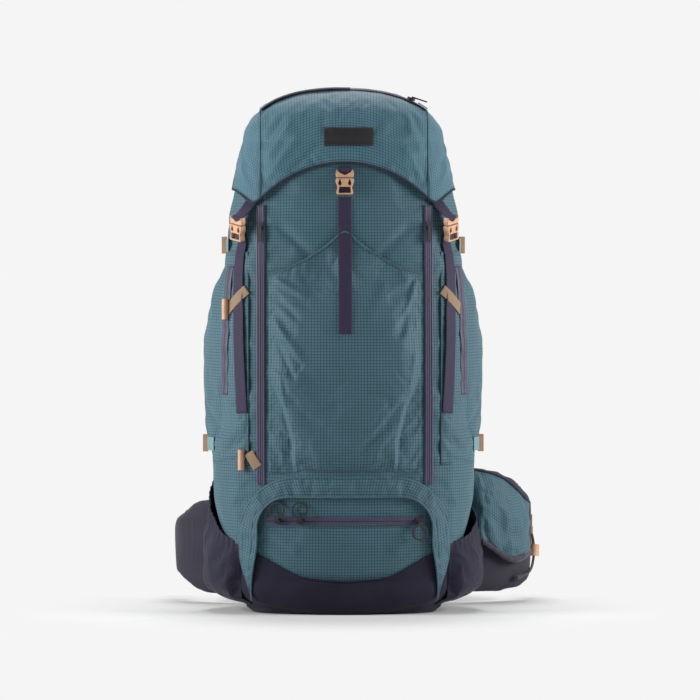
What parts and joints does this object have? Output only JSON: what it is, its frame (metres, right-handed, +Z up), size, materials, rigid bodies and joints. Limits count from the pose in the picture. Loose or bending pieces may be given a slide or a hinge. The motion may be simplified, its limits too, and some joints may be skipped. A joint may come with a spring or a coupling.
{
  "type": "trekking backpack",
  "caption": "Tall trekking backpack with floating lid, front stuff pocket, zipped side pockets, bottle pockets, bottom compartment, harness and padded hip belt.",
  "frame": {"origin": "on the floor, under the middle of the body", "axes": "+Z up, -Y out of the front of the pack, +Y to the wearer's side, +X right when looking at the front"},
  "size_m": [0.558, 0.507, 0.7776],
  "materials": {
    "shell_fabric": "ripstop nylon, matt",
    "navy_fabric": "coated pack cloth, matt",
    "webbing": "woven nylon webbing",
    "pale_webbing": "woven nylon webbing",
    "tan_webbing": "woven nylon webbing",
    "tan_plastic": "moulded acetal, satin",
    "black_plastic": "moulded, matt",
    "black_rubber": "soft patch, matt",
    "zip_tape": "coated zip tape",
    "mesh_foam": "spacer mesh over foam",
    "frame_plastic": "polyethylene sheet",
    "stay_metal": "drawn strip",
    "shock_cord": "braided shock cord"
  },
  "bodies": {
    "pack": {"boot": "navy_fabric", "front_panel": "shell_fabric", "side_panel_left": "shell_fabric", "side_panel_right": "shell_fabric", "back_panel": "navy_fabric", "collar": "shell_fabric", "frame_sheet": "frame_plastic", "frame_stays": "stay_metal", "front_pocket": "shell_fabric", "bottom_flap": "shell_fabric", "side_pocket_left": "shell_fabric", "side_pocket_right": "shell_fabric", "side_zip_tapes": "zip_tape", "bottle_pocket_left": "navy_fabric", "bottle_pocket_right": "navy_fabric", "front_zip_tapes": "zip_tape", "bottom_zip_tape": "zip_tape", "lid_sockets": "tan_plastic", "front_straps": "webbing", "compression_straps": "pale_webbing", "ladder_locks": "tan_plastic", "rear_ladder_locks": "tan_plastic", "pole_loops": "tan_webbing", "pole_toggles": "tan_plastic", "back_pads": "mesh_foam", "haul_loop": "webbing"},
    "lid_riser": {"lid_rear_straps": "webbing"},
    "lid": {"lid_shell": "shell_fabric", "lid_floor": "navy_fabric", "lid_badge": "black_rubber", "lid_zip_tape": "zip_tape", "lid_tongues": "tan_plastic", "lid_webbing": "webbing"},
    "lid_slider": {"lid_zip_slider": "black_plastic"},
    "front_slider_left": {"front_zip_slider_left": "black_plastic"},
    "front_slider_right": {"front_zip_slider_right": "black_plastic"},
    "bottom_slider_left": {"bottom_zip_slider_left": "black_plastic"},
    "bottom_slider_inner": {"bottom_zip_slider_inner": "black_plastic"},
    "bottom_slider_right": {"bottom_zip_slider_right": "black_plastic"},
    "ring_left": {"bottom_zip_ring_left": "black_plastic"},
    "ring_inner": {"bottom_zip_ring_inner": "black_plastic"},
    "ring_right": {"bottom_zip_ring_right": "black_plastic"},
    "shoulder_left": {"shoulder_strap_left": "mesh_foam", "shoulder_webbing_left": "webbing"},
    "shoulder_right": {"shoulder_strap_right": "mesh_foam", "shoulder_webbing_right": "webbing"},
    "sternum_left": {"sternum_half_left": "webbing"},
    "sternum_right": {"sternum_half_right": "webbing"},
    "hip_left": {"hip_wing_left": "navy_fabric", "hip_webbing_left": "webbing", "hip_buckle_left": "black_plastic"},
    "hip_right": {"hip_wing_right": "navy_fabric", "hip_pocket": "shell_fabric", "hip_ladder_lock": "tan_plastic", "hip_webbing_right": "webbing", "hip_buckle_right": "black_plastic", "hip_pull_tab": "tan_webbing", "hip_cord": "shock_cord", "hip_cord_lock": "tan_plastic"}
  },
  "joints": [
    {"name": "lid_raise", "type": "slide", "parent": "pack", "child": "lid_riser", "axis": [0, 0, 1], "range_m": [0, 0.09]},
    {"name": "lid_hinge", "type": "hinge", "parent": "lid_riser", "child": "lid", "pos_m": [0, 0.1184, 0.681], "axis": [-1, 0, 0], "range_deg": [0, 100]},
    {"name": "lid_zip", "type": "hinge", "parent": "lid", "child": "lid_slider", "pos_m": [0, -0.035, 0.46542], "axis": [0, -1, 0], "range_deg": [0, 37.38]},
    {"name": "front_zip_left", "type": "hinge", "parent": "pack", "child": "front_slider_left", "pos_m": [-0.1235, 1.13832, 0.30634], "axis": [1, 0, 0], "range_deg": [0, 13.58]},
    {"name": "front_zip_right", "type": "hinge", "parent": "pack", "child": "front_slider_right", "pos_m": [0.1235, 1.13832, 0.30634], "axis": [1, 0, 0], "range_deg": [0, 13.58]},
    {"name": "bottom_zip_left", "type": "hinge", "parent": "pack", "child": "bottom_slider_left", "pos_m": [0, 0.25356, 0.14], "axis": [0, 0, 1], "range_deg": [-0.25, 1.36]},
    {"name": "ring_left_swing", "type": "hinge", "parent": "bottom_slider_left", "child": "ring_left", "pos_m": [-0.10047, -0.14085, 0.14], "axis": [0.9691, -0.2469, 0], "range_deg": [0, 150]},
    {"name": "bottom_zip_inner", "type": "hinge", "parent": "pack", "child": "bottom_slider_inner", "pos_m": [0, 0.25356, 0.14], "axis": [0, 0, 1], "range_deg": [-1.07, 18.65]},
    {"name": "ring_inner_swing", "type": "hinge", "parent": "bottom_slider_inner", "child": "ring_inner", "pos_m": [-0.06664, -0.14795, 0.14], "axis": [0.9865, -0.1637, 0], "range_deg": [0, 150]},
    {"name": "bottom_zip_right", "type": "hinge", "parent": "pack", "child": "bottom_slider_right", "pos_m": [0, 0.25356, 0.14], "axis": [0, 0, 1], "range_deg": [-3.03, 0.6]},
    {"name": "ring_right_swing", "type": "hinge", "parent": "bottom_slider_right", "child": "ring_right", "pos_m": [0.11072, -0.13809, 0.14], "axis": [-0.9623, -0.272, 0], "range_deg": [0, 150]},
    {"name": "shoulder_left_lift", "type": "hinge", "parent": "pack", "child": "shoulder_left", "pos_m": [-0.062, 0.1103, 0.584], "axis": [1, 0, 0], "range_deg": [0, 30]},
    {"name": "sternum_left_swing", "type": "hinge", "parent": "shoulder_left", "child": "sternum_left", "pos_m": [-0.05, 0.2136, 0.47], "axis": [0, -1, 0], "range_deg": [0, 70]},
    {"name": "hip_left_wrap", "type": "hinge", "parent": "pack", "child": "hip_left", "pos_m": [-0.0889, 0.147, 0.11], "axis": [0, 0, -1], "range_deg": [0, 35]},
    {"name": "shoulder_right_lift", "type": "hinge", "parent": "pack", "child": "shoulder_right", "pos_m": [0.062, 0.1103, 0.584], "axis": [1, 0, 0], "range_deg": [0, 30]},
    {"name": "sternum_right_swing", "type": "hinge", "parent": "shoulder_right", "child": "sternum_right", "pos_m": [0.05, 0.2136, 0.47], "axis": [0, 1, 0], "range_deg": [0, 70]},
    {"name": "hip_right_wrap", "type": "hinge", "parent": "pack", "child": "hip_right", "pos_m": [0.0889, 0.147, 0.11], "axis": [0, 0, 1], "range_deg": [0, 35]}
  ]
}
